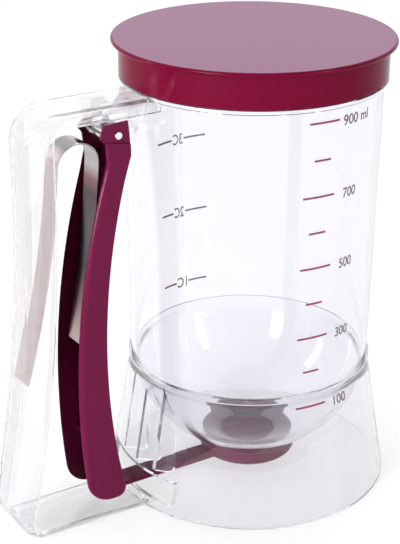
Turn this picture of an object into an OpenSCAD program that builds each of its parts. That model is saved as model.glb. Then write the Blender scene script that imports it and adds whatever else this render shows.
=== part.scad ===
// Batter dispenser: a clear jug with a round bottom on a flared skirt, a clear
// C-shaped handle, a squeeze trigger that swings a cup away from the outlet,
// a leaf spring that brings it back, and a lift-off cap lid.
// All sizes are in millimetres. The jug's axis is Z, the base stands on z = 0
// and the handle is on the -X side.

/* [Jug] */
// Outside radius of the round bottom and of the wall just above it
jug_r = 50.2; // [49:0.1:51.4]
// How much wider the wall is at the stop ring than at the bottom
jug_flare = 1.6; // [1:0.1:2]
// Wall thickness of the jug
jug_wall = 2; // [1.6:0.1:2.4]
// Height of the lowest outside point of the round bottom
bowl_low = 10.5; // [10.3:0.1:11.2]
// Height of the underside of the stop ring
ring_z = 173.2; // [171:0.2:175.4]
// Height of the stop ring
ring_h = 1.5; // [1:0.1:1.8]
// How far the stop ring stands out from the wall
ring_out = 1.5; // [1.4:0.1:2]
// Height of the neck above the stop ring
neck_h = 13; // [11:0.5:15]
// Radius of the outlet hole in the round bottom
outlet_r = 12; // [10.5:0.5:13]

/* [Base skirt] */
// How much wider the skirt stands than the round bottom
skirt_flare = 9.2; // [8.2:0.2:10.2]
// Wall thickness of the skirt
skirt_wall = 2; // [1.6:0.1:2.4]
// How far below the widest part of the round bottom the skirt's collar starts
collar_drop = 7.7; // [6.7:0.1:8.7]
// Height of the collar
collar_h = 2.5; // [1.5:0.1:3]
// Width of the slot that the trigger's arm passes through
slot_w = 48; // [44:1:52]
// Height of the slot's lower edge
slot_z = 4.2; // [3.8:0.1:4.6]
// Height of the slot itself
slot_h = 10.2; // [9.6:0.1:11]
// Distance between the ribs inside the skirt
rib_pitch = 11.3; // [9:0.1:13]
// Thickness of the ribs inside the skirt
rib_t = 1.6; // [1.2:0.1:2]
// How far inside the round bottom's radius the ribs' inner edges stand
rib_in = 6.4; // [4.4:0.2:8]

/* [Handle] */
// Width of the handle
handle_w = 25.2; // [24.4:0.2:27]
// Thickness of the handle's side walls
side_t = 1.8; // [1.4:0.1:2]
// Thickness of the handle's back, top and floor
back_t = 2; // [1.6:0.1:2.4]
// Distance from the pivot pin to the back of the grip
grip_out = 37; // [36:0.2:39]
// Depth of the grip
grip_d = 9; // [8:0.2:10]
// Radius of the grip's long bend
bend_r = 591; // [580:1:640]
// Drop from the top of the handle to where the long bend starts
bend_drop = 33.6; // [30:0.2:38]
// Depth of the top bar
bar_d = 5; // [4:0.1:6]
// Rounding of the handle's upper corner
top_corner_r = 13; // [11:0.5:16]
// Rounding of the handle's lower corner
foot_corner_r = 16; // [13:0.5:18]
// Rounding of the window's upper corner
window_corner_r = 5; // [3:0.5:7]
// Height of the foot tray's rims
foot_rim_h = 3.4; // [2.8:0.1:3.8]

/* [Trigger] */
// Distance from the wall at the stop ring to the pivot pin
pin_out = 15; // [14.6:0.1:15.8]
// Drop from the top of the handle to the pivot pin
pin_drop = 12.1; // [11.6:0.1:12.6]
// Radius of the pivot pin
pin_r = 1.5; // [1.2:0.1:1.8]
// Running gap between the pin and the ears' holes
pin_gap = 0.05; // [0.03:0.01:0.08]
// Wall thickness of the lever's sides
lever_side_t = 1.7; // [1.4:0.1:2]
// Thickness of the lever's front web
lever_web_t = 1.8; // [1.4:0.1:2.2]
// Depth of the lever's sides at the middle
lever_d = 13; // [12.4:0.1:13.4]
// Drop from the arm's underside to the lever's lower end
lever_toe = 0.3; // [0.1:0.1:0.6]
// Rounding of the lever's rear lower corner
lever_rear_r = 11; // [9:0.5:12]
// Rounding of the lever's front lower corner
lever_front_r = 4; // [3:0.5:5]
// Radius of the bracket's boss around the pin
boss_r = 4; // [3.4:0.1:4.4]
// Width of the bracket's rib
bracket_w = 8; // [6:0.5:10]

/* [Valve] */
// Width of the arm that carries the cup
arm_w = 8.5; // [7:0.5:11]
// Thickness of the arm
arm_t = 2.8; // [2.2:0.1:3.2]
// Radius of the cup
cup_r = 20.6; // [19.4:0.2:21.4]
// Height of the cup
cup_h = 7; // [6.4:0.1:7.4]
// Drop from the round bottom to the cup's underside
cup_drop = 4; // [3.8:0.1:4.2]
// Gap between the cup's dish and the round bottom
cup_gap = 0.6; // [0.4:0.1:0.9]
// Thickness of the seal pad in the cup
seal_t = 2; // [1.6:0.1:2.4]
// How far the seal pad reaches past the outlet hole
seal_over = 1.5; // [1:0.1:2.5]

/* [Spring] */
// Width of the leaf spring
spring_w = 11; // [8:0.5:13]
// Thickness of the leaf spring
spring_t = 0.6; // [0.4:0.1:0.8]
// Radius of the leaf spring's bend
spring_r = 8.7; // [8.2:0.1:9]

/* [Lid] */
// How far the lid's flange stands out from its skirt
lid_over = 2.9; // [2:0.1:4]
// Thickness of the lid's top
lid_t = 1.8; // [1.4:0.1:2.4]
// Wall thickness of the lid's skirt
lid_wall = 1.4; // [1:0.1:1.6]

/* [Hidden] */
$fn = 96;
// Segments of a circle much larger than the part
long_fn = 720;

// Gap between pieces that move against each other or lift off
clear = 0.3;
// Gap of a close fit between two clear mouldings
fit = 0.05;
// Length by which a cut runs past the face it opens
past = 1;

// Jug
bowl_z = bowl_low + jug_r;
bowl_in = jug_r - jug_wall;
wall_top_r = jug_r + jug_flare;
ring_top = ring_z + ring_h;
ring_r = wall_top_r + ring_out;
neck_step = 0.2;
neck_r = wall_top_r - neck_step;
neck_in = neck_r - jug_wall;
jug_top = ring_top + neck_h;
outlet_z = bowl_z - sqrt(pow(jug_r, 2) - pow(outlet_r, 2));

// Base skirt
skirt_r = jug_r + skirt_flare;
collar_z = bowl_z - collar_drop;
collar_out = 0.8;
collar_r = jug_r + collar_out;
collar_step = 0.4;
cone_top_r = collar_r - collar_step;
skirt_bore_r = jug_r + fit;
slot_top = slot_z + slot_h;
rib_reach = jug_r - rib_in;
rib_sink = 1.9;
rib_low = slot_top - rib_sink;
rib_rise = 3.7;
rib_corner_r = 2.5;

// Handle
bar_step = 0.1;
handle_top = ring_top - bar_step;
pin_x = wall_top_r + pin_out;
grip_x = pin_x + grip_out;
bend_z = handle_top - bend_drop;
bend = [-grip_x - bend_r, bend_z];
bar_z = handle_top - bar_d;
// A length that takes in the whole handle
reach = 1.5 * grip_x;

// Valve
cup_low = bowl_low - cup_drop;
cup_top = cup_low + cup_h;
cup_edge_r = 3;
arm_step = 1;
arm_low = cup_low + arm_step;
arm_root = 3;
seal_r = outlet_r + seal_over;
seal_top = outlet_z - clear;
seal_low = seal_top - seal_t;

// Trigger
pin = [-pin_x, handle_top - pin_drop];
pin_hole_r = pin_r + pin_gap;
lever_w = handle_w - 2 * side_t - 2 * clear;
lever_in = lever_w / 2 - lever_side_t;
pin_sink = 0.2;
pin_end = lever_w / 2 - pin_sink;
lever_low = arm_low - lever_toe;
lever_h = pin[1] - lever_low;
// Points on the front and rear edges of the lever
front_a = lever_point(0.4, 0.055);
front_b = lever_point(-0.515, 0.614);
front_c = lever_point(0.015, 0.969);
rear_a = lever_point(-0.354, 0.064);
rear_b = lever_point(-1.515, 0.661);
rear_c = lever_point(-1.385, 0.883);
front_o = arc_centre(front_a, front_b, front_c);
front_arc_r = norm(front_a - front_o);
rear_o = arc_centre(rear_a, rear_b, rear_c);
rear_arc_r = norm(rear_a - rear_o);
lever_floor_t = 2.2;
lever_floor = lever_low + lever_floor_t;
lever_floor_reach = 8;
// Rear ends of the cross rib that the spring bears on and of the lower one
bearing = lever_point(-1.123, 0.531);
lower_rib = lever_point(-0.96, 0.827);
cross_rib_t = 2;

// Spring
spring_o = lever_point(-1.138, 0.068);
spring_gap = clear + spring_t / 2;
// How far the bend runs down into the legs
spring_lap = 0.2;
spring_front = spring_o + [spring_r, 0];
leg_lean = 0.18;
spring_front_end = bearing - [spring_gap + 1.5 * leg_lean * cross_rib_t, cross_rib_t];
spring_rear = spring_o - [spring_r, 0];
spring_end_z = pin[1] - 0.615 * lever_h;
spring_rear_end = [on_right(bend, bend_r + back_t, spring_end_z) + spring_gap, spring_end_z];

// Lid
lid_bore_r = neck_r + clear;
lid_skirt_r = lid_bore_r + lid_wall;
lid_r = lid_skirt_r + lid_over;
lid_under = jug_top + clear;
lid_low = ring_top + clear;

// A point of the lever: x in lever depths behind the pin's line, drop in lever heights
function lever_point(x, drop) = pin + [x * lever_d, -drop * lever_h];

// A point between two others: part x of the way across and part y of the way down
function between(a, b, x, y) = [a[0] + x * (b[0] - a[0]), a[1] + y * (b[1] - a[1])];

// Centre of the circle through three points
function arc_centre(a, b, c) =
    let (
        d = 2 * (a[0] * (b[1] - c[1]) + b[0] * (c[1] - a[1]) + c[0] * (a[1] - b[1])),
        x = ((a * a) * (b[1] - c[1]) + (b * b) * (c[1] - a[1]) + (c * c) * (a[1] - b[1])) / d,
        y = ((a * a) * (c[0] - b[0]) + (b * b) * (a[0] - c[0]) + (c * c) * (b[0] - a[0])) / d
    )
    [x, y];

// Where a circle of radius r around o is at height z, on its right or left side
function on_right(o, r, z) = o[0] + sqrt(pow(r, 2) - pow(z - o[1], 2));
function on_left(o, r, z) = o[0] - sqrt(pow(r, 2) - pow(z - o[1], 2));

// Outside radius of the skirt's cone at height z
function cone_r(z) = skirt_r - (skirt_r - cone_top_r) * z / collar_z;

// A side outline in the X-Z plane, given thickness w across Y
module across(w) {
    rotate([90, 0, 0])
        linear_extrude(height = w, center = true)
            children();
}

// What a rounded corner takes off: all beyond radius r between two directions from o
module corner_cut(o, r, from, to) {
    far = 3 * r;
    middle = (from + to) / 2;
    translate(o)
        difference() {
            polygon([
                [0, 0],
                far * [cos(from), sin(from)],
                1.5 * far * [cos(middle), sin(middle)],
                far * [cos(to), sin(to)]
            ]);
            circle(r = r);
        }
}

// A thin strip along the arc from a through b down to c
module strip_arc(a, b, c, t) {
    o = arc_centre(a, b, c);
    r = norm(a - o);
    left = min(a[0], c[0]) - 2 * t;
    right = max(a[0], c[0]) + 2 * t;
    intersection() {
        translate(o)
            difference() {
                circle(r = r + t / 2, $fn = long_fn);
                circle(r = r - t / 2, $fn = long_fn);
            }
        translate([left, c[1]])
            square([right - left, a[1] - c[1]]);
    }
}

// Half of the jug's section: the outside, or the cavity
module jug_section(round_r, top_r, above) {
    intersection() {
        translate([0, bowl_z])
            circle(r = round_r);
        square([round_r, bowl_z]);
    }
    polygon([
        [0, bowl_z],
        [round_r, bowl_z],
        [top_r, ring_z],
        [top_r, ring_top],
        [above[0], ring_top],
        above,
        [0, above[1]]
    ]);
}

// The jug's outside section, with the stop ring
module jug_outline() {
    jug_section(jug_r, wall_top_r, [neck_r, jug_top]);
    translate([0, ring_z])
        square([ring_r, ring_h]);
}

// The jug's outside, filled, for what is fitted to it
module jug_outside() {
    rotate_extrude()
        jug_outline();
}

// The skirt's cone, filled, drawn in by t
module skirt_cone(t) {
    translate([0, 0, -past])
        cylinder(h = collar_z + past, r1 = cone_r(-past) - t, r2 = cone_top_r - t);
}

module jug_body() {
    color([0.95, 0.95, 0.98, 0.35])
        rotate_extrude()
            difference() {
                jug_outline();
                jug_section(bowl_in, neck_in, [neck_in, jug_top + past]);
                square([outlet_r, bowl_z]);
            }
}

// One rib inside the skirt, seen from the side
module rib_outline() {
    corner = [-rib_reach - rib_corner_r, rib_low + rib_corner_r];
    slope = atan2(rib_rise, skirt_r - rib_reach - rib_corner_r);
    difference() {
        polygon([
            [-skirt_r, rib_low + rib_rise],
            [-rib_reach - rib_corner_r, rib_low],
            [-rib_reach, rib_low],
            [-rib_reach, collar_z],
            [-skirt_r, collar_z]
        ]);
        corner_cut(corner, rib_corner_r, 270 - slope / 2, 360);
    }
}

module base_skirt() {
    color([0.93, 0.93, 0.97, 0.35])
        difference() {
            union() {
                difference() {
                    union() {
                        cylinder(h = collar_z, r1 = skirt_r, r2 = cone_top_r);
                        translate([0, 0, collar_z])
                            cylinder(h = collar_h, r = collar_r);
                    }
                    skirt_cone(skirt_wall);
                    translate([-skirt_r - past, -slot_w / 2, slot_z])
                        cube([skirt_r - rib_reach + past, slot_w, slot_h]);
                }
                intersection() {
                    // The ribs run halfway into the skirt's wall
                    skirt_cone(skirt_wall / 2);
                    for (side = [-1:1])
                        translate([0, side * rib_pitch, 0])
                            across(rib_t)
                                rib_outline();
                }
            }
            translate([0, 0, bowl_z])
                sphere(r = skirt_bore_r);
        }
}

// The handle's outer outline, drawn in by t and filled up to the jug's axis
module handle_outline(t) {
    back = grip_x - t;
    top = handle_top - t;
    top_r = top_corner_r - t;
    foot_r = foot_corner_r - t;
    foot_o = [on_right(bend, bend_r + foot_corner_r, foot_corner_r), foot_corner_r];
    difference() {
        translate([-reach, t])
            square([reach, top - t]);
        translate([-reach - past, bend_z])
            square([reach + past - back, top - bend_z + past]);
        intersection() {
            translate(bend)
                circle(r = bend_r + t, $fn = long_fn);
            translate([-reach - past, 0])
                square([reach, bend_z]);
        }
        corner_cut([top_r - back, top - top_r], top_r, 90, 180);
        corner_cut(foot_o, foot_r, atan2(bend[1] - foot_o[1], bend[0] - foot_o[0]), 270);
    }
}

// The open window between the grip, the top bar, the foot and the jug
module handle_window() {
    front = grip_x - grip_d;
    foot_r = 3;
    foot_z = foot_rim_h + foot_r;
    foot_o = [on_right(bend, bend_r + grip_d + foot_r, foot_z), foot_z];
    difference() {
        translate([-reach, foot_rim_h])
            square([reach + past, bar_z - foot_rim_h]);
        translate([-reach - past, bend_z])
            square([reach + past - front, bar_z - bend_z + past]);
        intersection() {
            translate(bend)
                circle(r = bend_r + grip_d, $fn = long_fn);
            translate([-reach - past, 0])
                square([reach, bend_z]);
        }
        corner_cut([window_corner_r - front, bar_z - window_corner_r], window_corner_r, 90, 180);
        corner_cut(foot_o, foot_r, atan2(bend[1] - foot_o[1], bend[0] - foot_o[0]), 270);
    }
}

module handle() {
    color([0.94, 0.94, 0.98, 0.35])
        difference() {
            across(handle_w)
                handle_outline(0);
            across(handle_w - 2 * side_t)
                handle_outline(back_t);
            across(handle_w + 2 * past)
                handle_window();
            jug_outside();
            skirt_cone(0);
            // Nothing of the handle is left inside the skirt
            cylinder(h = collar_z, r = cone_top_r);
        }
}

module pivot_bracket() {
    color([0.92, 0.92, 0.97, 0.35])
        difference() {
            union() {
                across(bracket_w)
                    translate([pin[0] - boss_r, pin[1] - 2])
                        square([pin_x, pin_drop + 2 - back_t]);
                translate([pin[0], 0, pin[1]])
                    rotate([90, 0, 0])
                        cylinder(h = 2 * (lever_in - clear), r = boss_r, center = true);
            }
            translate([pin[0], 0, pin[1]])
                rotate([90, 0, 0])
                    cylinder(h = lever_w, r = pin_r, center = true);
            jug_outside();
        }
}

module pivot_pin() {
    color([0.7, 0.7, 0.72])
        translate([pin[0], 0, pin[1]])
            rotate([90, 0, 0])
                cylinder(h = 2 * pin_end, r = pin_r, center = true);
}

module leaf_spring() {
    color([0.72, 0.71, 0.7])
        across(spring_w) {
            intersection() {
                translate(spring_o)
                    difference() {
                        circle(r = spring_r + spring_t / 2);
                        circle(r = spring_r - spring_t / 2);
                    }
                translate(spring_o - [2 * spring_r, spring_lap])
                    square([4 * spring_r, 2 * spring_r]);
            }
            strip_arc(
                spring_front,
                between(spring_front, spring_front_end, 0.297, 0.42),
                spring_front_end,
                spring_t
            );
            strip_arc(
                spring_rear,
                between(spring_rear, spring_rear_end, 0.26, 0.38),
                spring_rear_end,
                spring_t
            );
        }
}

// The ear round the pin, seen from the side, in lever depths and heights
module ear_outline() {
    polygon([
        lever_point(0.315, 0.077),
        lever_point(0.4, 0.055),
        lever_point(0.4, 0.042),
        lever_point(0.369, -0.001),
        lever_point(0.323, -0.033),
        lever_point(-0.462, -0.03),
        lever_point(-0.592, 0.002),
        lever_point(-0.408, 0.019),
        lever_point(-0.354, 0.064),
        lever_point(-0.4, 0.077)
    ]);
}

// The lever seen from the side: two long arcs, a rounded lower end and the ear
module lever_outline() {
    rear_z = lever_low + lever_rear_r;
    rear_fillet = [on_left(rear_o, rear_arc_r - lever_rear_r, rear_z), rear_z];
    rear_side = rear_fillet - rear_o;
    front_z = lever_low + lever_front_r;
    front_fillet = [on_left(front_o, front_arc_r + lever_front_r, front_z), front_z];
    front_side = front_o - front_fillet;
    difference() {
        intersection() {
            translate(rear_o)
                circle(r = rear_arc_r, $fn = long_fn);
            translate([-reach, lever_low])
                square([reach, rear_a[1] - lever_low]);
        }
        translate(front_o)
            circle(r = front_arc_r, $fn = long_fn);
        corner_cut(rear_fillet, lever_rear_r, 360 + atan2(rear_side[1], rear_side[0]), 270);
        corner_cut(front_fillet, lever_front_r, 270, 360 + atan2(front_side[1], front_side[0]));
    }
    ear_outline();
}

// A cross rib of the lever, from the web back to a rear end
module cross_rib(end) {
    across(2 * lever_in)
        difference() {
            translate(end - [0, cross_rib_t / 2])
                square([reach, cross_rib_t]);
            translate(front_o)
                circle(r = front_arc_r + lever_web_t, $fn = long_fn);
        }
}

module trigger_lever() {
    color([0.42, 0.05, 0.26])
        difference() {
            union() {
                difference() {
                    across(lever_w)
                        lever_outline();
                    across(2 * lever_in)
                        translate([-reach, 0])
                            square([reach, 2 * reach]);
                }
                across(2 * lever_in)
                    intersection() {
                        lever_outline();
                        translate([-reach, 0])
                            square([reach, front_a[1]]);
                        union() {
                            translate(front_o)
                                circle(r = front_arc_r + lever_web_t, $fn = long_fn);
                            translate([pin[0] - lever_floor_reach, 0])
                                square([reach, lever_floor]);
                        }
                    }
                cross_rib(bearing);
                cross_rib(lower_rib);
            }
            translate([pin[0], 0, pin[1]])
                rotate([90, 0, 0])
                    cylinder(h = lever_w + 2 * past, r = pin_hole_r, center = true);
        }
}

module valve_arm() {
    root = on_left(front_o, front_arc_r, arm_low + arm_t) - arm_root;
    color([0.42, 0.05, 0.26])
        difference() {
            translate([root, -arm_w / 2, arm_low])
                cube([-root, arm_w, arm_t]);
            across(arm_w + 2 * past)
                lever_outline();
            cylinder(h = cup_top, r = cup_r);
        }
}

module valve_cup() {
    color([0.45, 0.06, 0.28])
        difference() {
            rotate_extrude() {
                translate([0, cup_low])
                    square([cup_r - cup_edge_r, cup_h]);
                translate([0, cup_low + cup_edge_r])
                    square([cup_r, cup_h - cup_edge_r]);
                translate([cup_r - cup_edge_r, cup_low + cup_edge_r])
                    circle(r = cup_edge_r);
            }
            translate([0, 0, bowl_z])
                sphere(r = jug_r + cup_gap);
            translate([0, 0, seal_low])
                cylinder(h = cup_h, r = seal_r);
        }
}

module valve_seal() {
    color([0.3, 0.27, 0.29])
        translate([0, 0, seal_low])
            cylinder(h = seal_t, r = seal_r);
}

module lid_cap() {
    edge_r = lid_t / 2;
    color([0.45, 0.06, 0.28])
        rotate_extrude() {
            translate([0, lid_under])
                square([lid_r - edge_r, lid_t]);
            translate([lid_r - edge_r, lid_under + edge_r])
                circle(r = edge_r);
            translate([lid_bore_r, lid_low])
                square([lid_wall, lid_under - lid_low]);
        }
}

jug_body();
base_skirt();
handle();
pivot_bracket();
pivot_pin();
leaf_spring();
trigger_lever();
valve_arm();
valve_cup();
valve_seal();
lid_cap();
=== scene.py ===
# Looks of a batter dispenser: clear jug, skirt and handle, maroon trigger and cap lid.

import logging
import math
from dataclasses import dataclass
from enum import Enum
from typing import Callable, Dict, List, Optional, Sequence, Tuple

import bmesh
import bpy
from mathutils import Matrix, Vector


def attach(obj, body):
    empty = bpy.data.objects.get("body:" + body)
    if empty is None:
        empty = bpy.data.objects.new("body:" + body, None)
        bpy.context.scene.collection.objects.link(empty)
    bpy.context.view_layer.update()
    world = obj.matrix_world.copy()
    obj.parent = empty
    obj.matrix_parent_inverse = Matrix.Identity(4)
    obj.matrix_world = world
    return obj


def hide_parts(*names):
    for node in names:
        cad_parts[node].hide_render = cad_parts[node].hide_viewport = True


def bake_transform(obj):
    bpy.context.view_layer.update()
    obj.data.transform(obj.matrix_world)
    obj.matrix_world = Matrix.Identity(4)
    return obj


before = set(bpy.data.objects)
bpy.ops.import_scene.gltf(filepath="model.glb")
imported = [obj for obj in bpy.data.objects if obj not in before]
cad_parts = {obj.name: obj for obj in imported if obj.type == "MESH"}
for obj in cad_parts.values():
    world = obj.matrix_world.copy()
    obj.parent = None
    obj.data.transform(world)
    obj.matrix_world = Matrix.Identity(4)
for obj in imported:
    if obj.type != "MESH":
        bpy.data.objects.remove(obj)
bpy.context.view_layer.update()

LOG = logging.getLogger("dispenser")
MM = 0.001
ROUND_STEPS = 160
Point2 = Tuple[float, float]
Point3 = Tuple[float, float, float]
Colour = Tuple[float, float, float]
Stops = Tuple[Tuple[float, Colour], ...]


class Body(Enum):
    """The rigid bodies that the pieces ride on."""

    JUG = "jug"
    TRIGGER = "trigger"
    LID = "lid"


class Slot(Enum):
    """The record's material slots."""

    JUG = "jug_clear"
    SKIRT = "skirt_clear"
    HANDLE = "handle_clear"
    LID = "lid_maroon"
    TRIGGER = "trigger_maroon"
    SEAL = "seal_rubber"
    SPRING = "spring_steel"
    PIN = "pin_steel"


# ---------------------------------------------------------------- finishes


def shade(tree: bpy.types.NodeTree, share: bpy.types.NodeSocket, stops: Stops) -> bpy.types.NodeSocket:
    """Turns a share from 0 to 1 into a colour.

    Args:
        tree: The node tree.
        share: The socket that gives the share.
        stops: Place and colour of each stop, in order.

    Returns:
        The socket that gives the colour.
    """
    tone = tree.nodes.new("ShaderNodeValToRGB")
    ramp = tone.color_ramp.elements
    for stop, (place, colour) in zip((ramp[0], ramp[1]), (stops[0], stops[-1])):
        stop.position, stop.color = place, (*colour, 1)
    for place, colour in stops[1:-1]:
        ramp.new(place).color = (*colour, 1)
    tree.links.new(share, tone.inputs["Fac"])
    return tone.outputs["Color"]


def share_along(tree: bpy.types.NodeTree, where: bpy.types.NodeSocket, axis: str,
                span: Point2) -> bpy.types.NodeSocket:
    """Measures a share from 0 to 1 along one axis.

    Args:
        tree: The node tree.
        where: The socket that gives the place.
        axis: X, Y or Z.
        span: The two places on the axis at which the share is 0 and 1.

    Returns:
        The socket that gives the share.
    """
    split = tree.nodes.new("ShaderNodeSeparateXYZ")
    share = tree.nodes.new("ShaderNodeMapRange")
    share.inputs["From Min"].default_value, share.inputs["From Max"].default_value = span
    tree.links.new(where, split.inputs["Vector"])
    tree.links.new(split.outputs[axis], share.inputs["Value"])
    return share.outputs["Result"]


@dataclass(frozen=True)
class Finish:
    """What every finish has: a name, and two close tones that a fine noise mixes."""

    name: str
    tones: Tuple[Colour, Colour]

    def build(self, scale: float, bump: float, sockets: Dict[str, object],
              stretch: Point3 = (1, 1, 1)) -> bpy.types.Material:
        """Builds the material, on object coordinates.

        Args:
            scale: The noise's scale, per metre.
            bump: Strength of the noise's bump, 0 for none.
            sockets: Values of the shader's own sockets.
            stretch: How the noise is stretched along the axes.

        Returns:
            The material.
        """
        material = bpy.data.materials.new(self.name)
        material.use_nodes = True
        tree = material.node_tree
        shader = tree.nodes["Principled BSDF"]
        for socket, value in sockets.items():
            shader.inputs[socket].default_value = value
        where = tree.nodes.new("ShaderNodeTexCoord")
        place = tree.nodes.new("ShaderNodeMapping")
        place.inputs["Scale"].default_value = stretch
        noise = tree.nodes.new("ShaderNodeTexNoise")
        noise.inputs["Scale"].default_value = scale
        noise.inputs["Detail"].default_value = 2.0
        tree.links.new(where.outputs["Object"], place.inputs["Vector"])
        tree.links.new(place.outputs["Vector"], noise.inputs["Vector"])
        colour = shade(tree, noise.outputs["Fac"], tuple(enumerate(self.tones)))
        tree.links.new(colour, shader.inputs["Base Color"])
        if bump:
            rise = tree.nodes.new("ShaderNodeBump")
            rise.inputs["Strength"].default_value = bump
            rise.inputs["Distance"].default_value = 0.0002
            tree.links.new(noise.outputs["Fac"], rise.inputs["Height"])
            tree.links.new(rise.outputs["Normal"], shader.inputs["Normal"])
        return material


@dataclass(frozen=True)
class ClearPlastic(Finish):
    """Moulded clear plastic with a faint cool tint."""

    body: float = 1.0
    ior: float = 1.5
    roughness: float = 0.015

    def make(self) -> bpy.types.Material:
        """Builds the material."""
        return self.build(14.0, 0.0, {"Transmission Weight": 1.0, "Roughness": self.roughness,
                                      "IOR": self.ior, "Alpha": self.body})


@dataclass(frozen=True)
class GlossPlastic(Finish):
    """Opaque coloured plastic, from satin to polished."""

    roughness: float
    specular: float
    grain: float = 0.03

    def make(self) -> bpy.types.Material:
        """Builds the material."""
        return self.build(60.0, self.grain, {"Roughness": self.roughness, "IOR": 1.5,
                                             "Specular IOR Level": self.specular})


@dataclass(frozen=True)
class RolledSteel(Finish):
    """Bright steel with fine lines along one axis, and painted reflections where it has them: lighter, darker
    and brownish bands by height.
    """

    roughness: float
    stretch: Point3
    painted_reflections: Stops = ()
    reflection_z: Point2 = (0.075, 0.160)
    reflection_x: Point2 = (-0.0890, -0.0865)

    def make(self) -> bpy.types.Material:
        """Builds the material.

        Returns:
            The material.
        """
        material = self.build(900.0, 0.12, {"Metallic": 1.0, "Roughness": self.roughness}, self.stretch)
        if self.painted_reflections:
            self.paint_front_reflections(material.node_tree)
        return material

    def paint_front_reflections(self, tree: bpy.types.NodeTree) -> None:
        """Paints reflections and shade on the front leg, as bands that change with height.

        Args:
            tree: The material's node tree, whose colour is linked already.
        """
        base = tree.nodes["Principled BSDF"].inputs["Base Color"]
        plain = base.links[0].from_socket
        where = tree.nodes.new("ShaderNodeTexCoord").outputs["Object"]
        # Painted reflections and shade: light, dark and brownish bands by height, mixed in on the front leg
        # only.
        reflection_bands = shade(tree, share_along(tree, where, "Z", self.reflection_z), self.painted_reflections)
        mix = tree.nodes.new("ShaderNodeMixRGB")
        tree.links.new(share_along(tree, where, "X", self.reflection_x), mix.inputs["Fac"])
        tree.links.new(plain, mix.inputs["Color1"])
        tree.links.new(reflection_bands, mix.inputs["Color2"])
        tree.links.new(mix.outputs["Color"], base)


@dataclass(frozen=True)
class Rubber(Finish):
    """Matt dark rubber."""

    def make(self) -> bpy.types.Material:
        """Builds the material."""
        return self.build(400.0, 0.2, {"Roughness": 0.55, "Specular IOR Level": 0.12})


@dataclass(frozen=True)
class PrintInk(Finish):
    """Opaque printing ink."""

    def make(self) -> bpy.types.Material:
        """Builds the material."""
        return self.build(900.0, 0.0, {"Roughness": 0.45})


@dataclass(frozen=True)
class StudioFloor(Finish):
    """Pale matt floor with a soft glow of its own, which lights the part from below."""

    glow: float

    def make(self) -> bpy.types.Material:
        """Builds the material."""
        return self.build(3.0, 0.0, {"Roughness": 0.7, "Specular IOR Level": 0.0,
                                     "Emission Color": (1.0, 1.0, 1.0, 1), "Emission Strength": self.glow})


# The skirt's and handle's low alpha and index keep light trapped in them from showing as black lines.
CLEAR_JUG = ClearPlastic("clear_jug", ((0.925, 0.923, 0.95), (0.947, 0.944, 0.968)))
CLEAR_SKIRT = ClearPlastic("clear_skirt", ((0.955, 0.95, 0.98), (0.972, 0.967, 0.99)), 0.94, 1.29)
CLEAR_HANDLE = ClearPlastic("clear_handle", ((0.88, 0.875, 0.89), (0.915, 0.905, 0.92)), 0.88, 1.36)
TRIGGER_GLOSS = GlossPlastic("trigger_gloss", ((0.090, 0.002, 0.027), (0.104, 0.003, 0.033)), 0.22, 0.12)
# Painted sheen: a lighter, bluer copy of the trigger's maroon for the cup's upward faces.
DISH_PAINTED_SHEEN = GlossPlastic("dish_painted_sheen", ((0.20, 0.008, 0.085), (0.23, 0.012, 0.10)), 0.3, 0.04)
# Painted shade: a darker copy of the trigger's maroon for the faces inside the lever's channel.
CHANNEL_PAINTED_SHADE = GlossPlastic("channel_painted_shade", ((0.045, 0.001, 0.012), (0.055, 0.0015, 0.015)), 0.4, 0.06)
LID_GLOSS = GlossPlastic("lid_gloss", ((0.098, 0.0005, 0.0145), (0.11, 0.001, 0.018)), 0.16, 0.06)
# The lid's top: a real satin surface, and a lighter, bluer copy of the lid's maroon that is a painted sheen.
LID_SATIN_PAINTED_SHEEN = GlossPlastic("lid_satin_painted_sheen", ((0.14, 0.008, 0.085), (0.15, 0.009, 0.092)), 0.42, 0.84)
SEAL_RUBBER = Rubber("seal_rubber", ((0.14, 0.016, 0.060), (0.18, 0.024, 0.080)))
# Spring steel; the stops after its roughness and stretch are painted reflections and shade on the front leg,
# as bands by height.
SPRING_STEEL = RolledSteel(
    "spring_steel", ((0.50, 0.42, 0.41), (0.68, 0.58, 0.57)), 0.2, (1, 1, 0.02),
    ((0.08, (0.387, 0.306, 0.306)), (0.214, (0.22, 0.115, 0.125)), (0.393, (0.055, 0.052, 0.053)),
     (0.571, (0.09, 0.081, 0.083)), (0.749, (0.07, 0.045, 0.046)), (0.816, (0.22, 0.105, 0.118)),
     (0.88, (0.42, 0.40, 0.395)), (1.0, (0.26, 0.25, 0.25))))
PIN_STEEL = RolledSteel("pin_steel", ((0.60, 0.60, 0.62), (0.74, 0.74, 0.76)), 0.22, (1, 0.02, 1))
MAROON_INK = PrintInk("maroon_ink", ((0.16, 0.012, 0.045), (0.2, 0.016, 0.06)))
GREY_INK = PrintInk("grey_ink", ((0.10, 0.075, 0.075), (0.13, 0.1, 0.1)))
PALE_FLOOR = StudioFloor("pale_floor", ((0.35, 0.35, 0.353), (0.36, 0.36, 0.363)), 0.585)


# ---------------------------------------------------------------- modelling


def rest_selection() -> None:
    """Deselects every object, in object mode."""
    if bpy.context.object and bpy.context.object.mode != "OBJECT":
        bpy.ops.object.mode_set(mode="OBJECT")
    bpy.ops.object.select_all(action="DESELECT")


def activate(obj: bpy.types.Object) -> None:
    """Makes an object the only selected and active one.

    Args:
        obj: The object.
    """
    rest_selection()
    obj.select_set(True)
    bpy.context.view_layer.objects.active = obj


def settle(obj: bpy.types.Object) -> None:
    """Moves an object's place, turn and size into its mesh."""
    activate(obj)
    bpy.ops.object.transform_apply(location=True, rotation=True, scale=True)


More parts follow.
